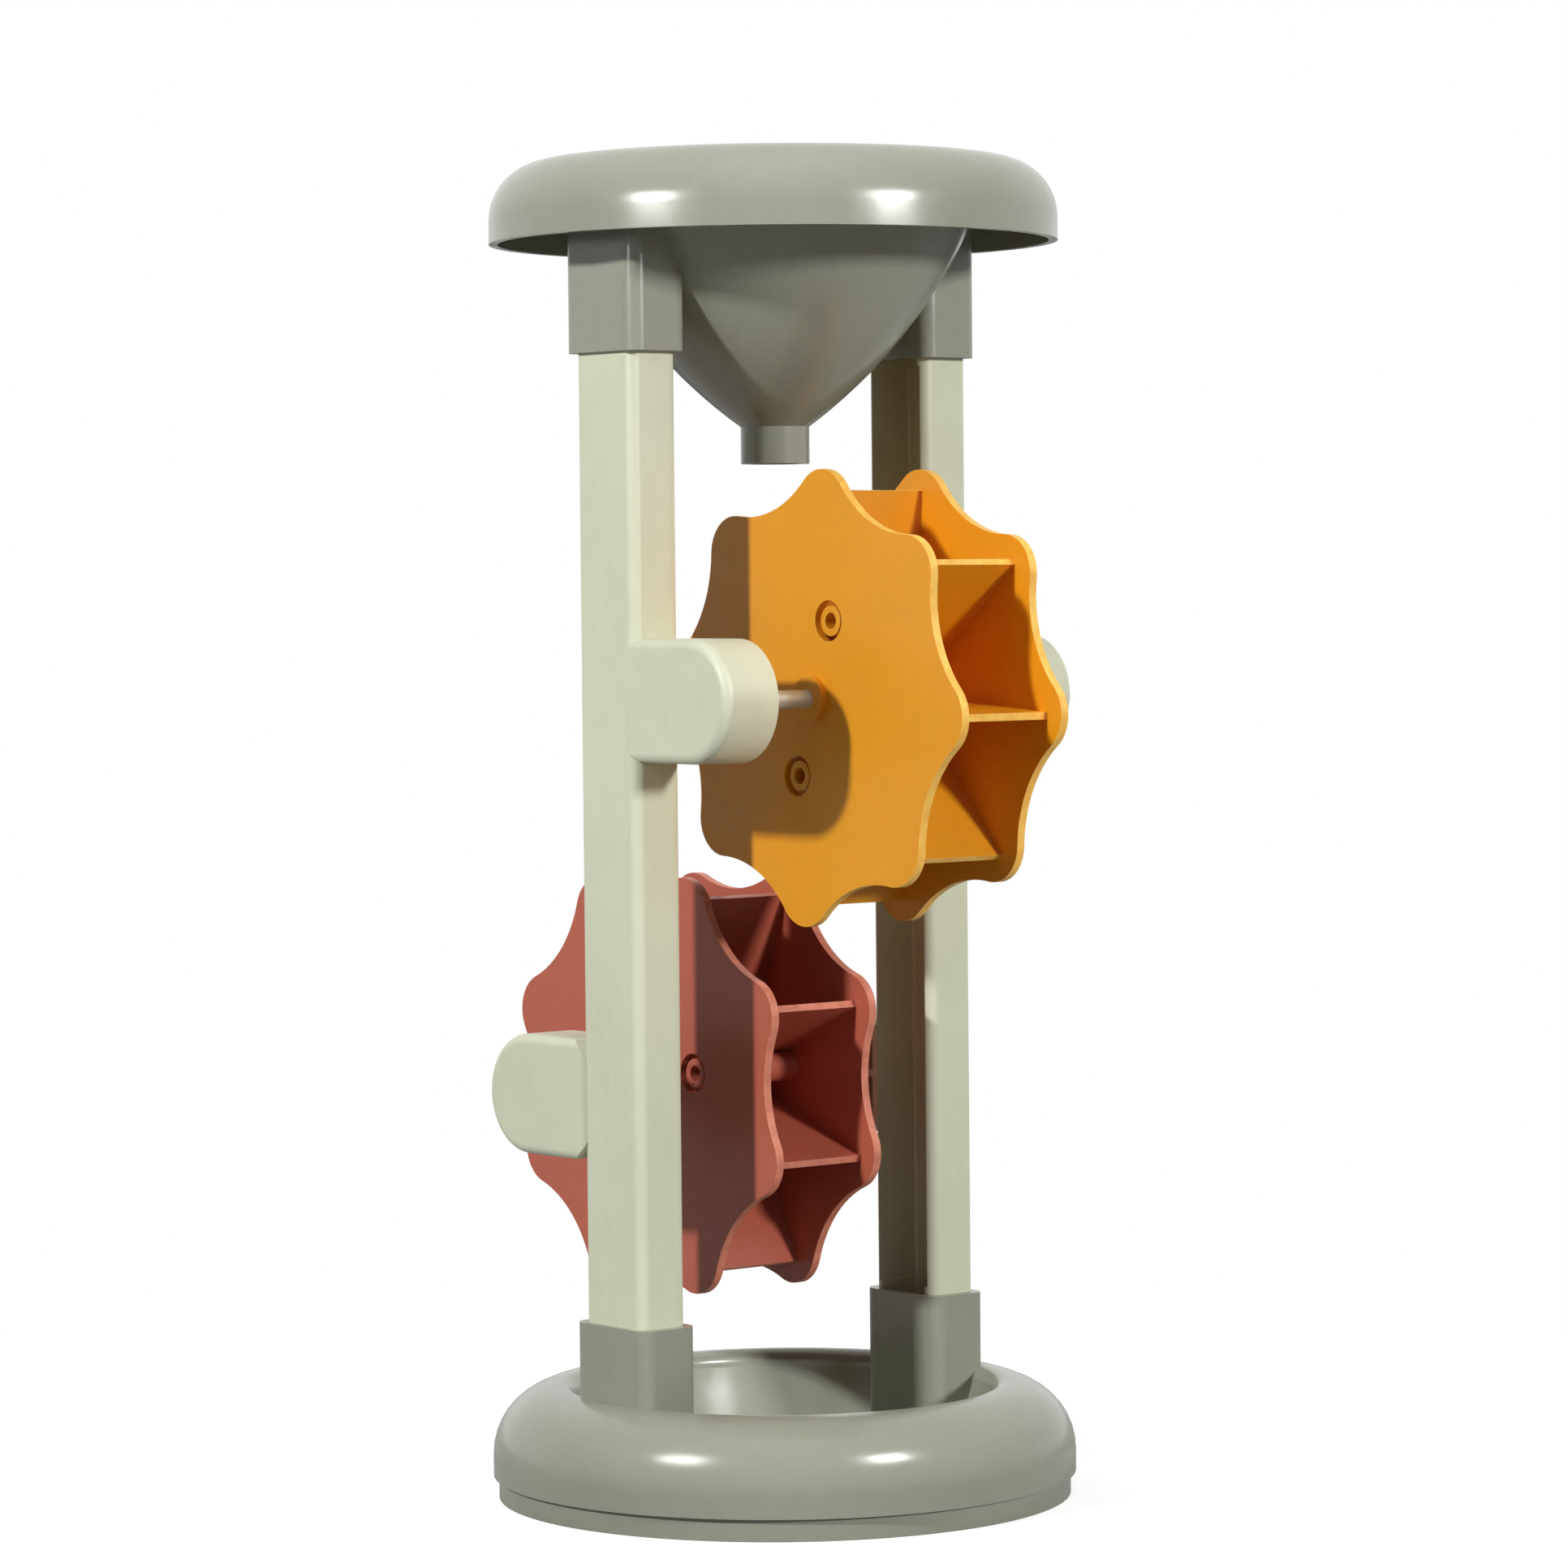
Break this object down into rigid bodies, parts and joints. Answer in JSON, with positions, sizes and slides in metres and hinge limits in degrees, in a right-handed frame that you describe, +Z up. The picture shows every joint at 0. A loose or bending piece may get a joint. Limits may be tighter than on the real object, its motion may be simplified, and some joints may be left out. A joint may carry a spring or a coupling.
{
  "type": "sand wheel toy",
  "caption": "Sand and water mill: a funnel on posts pours onto lobed paddle wheels that turn on steel axles above a dish base.",
  "frame": {"origin": "on the ground under the middle of the round base", "axes": "+X along the wheel axles, +Y from the upper wheel's side to the lower wheel's side, +Z up"},
  "size_m": [0.1308, 0.1587, 0.298],
  "materials": {
    "sage_plastic": "smooth moulded plastic with a soft gloss",
    "cream_plastic": "satin moulded plastic",
    "yellow_plastic": "satin moulded plastic",
    "brick_plastic": "satin moulded plastic",
    "axle_steel": "drawn rod"
  },
  "bodies": {
    "frame": {"base_dish": "sage_plastic", "funnel": "sage_plastic", "left_post": "cream_plastic", "right_post": "cream_plastic"},
    "upper_wheel": {"upper_wheel_paddles": "yellow_plastic", "upper_wheel_cover": "yellow_plastic", "upper_axle": "axle_steel"},
    "lower_wheel": {"lower_wheel_paddles": "brick_plastic", "lower_wheel_cover": "brick_plastic", "lower_axle": "axle_steel"}
  },
  "joints": [
    {"name": "upper_wheel_spin", "type": "hinge", "parent": "frame", "child": "upper_wheel", "pos_m": [0, -0.0308, 0.1789], "axis": [1, 0, 0], "continuous": true},
    {"name": "lower_wheel_spin", "type": "hinge", "parent": "frame", "child": "lower_wheel", "pos_m": [0, 0.0306, 0.0908], "axis": [1, 0, 0], "continuous": true}
  ]
}
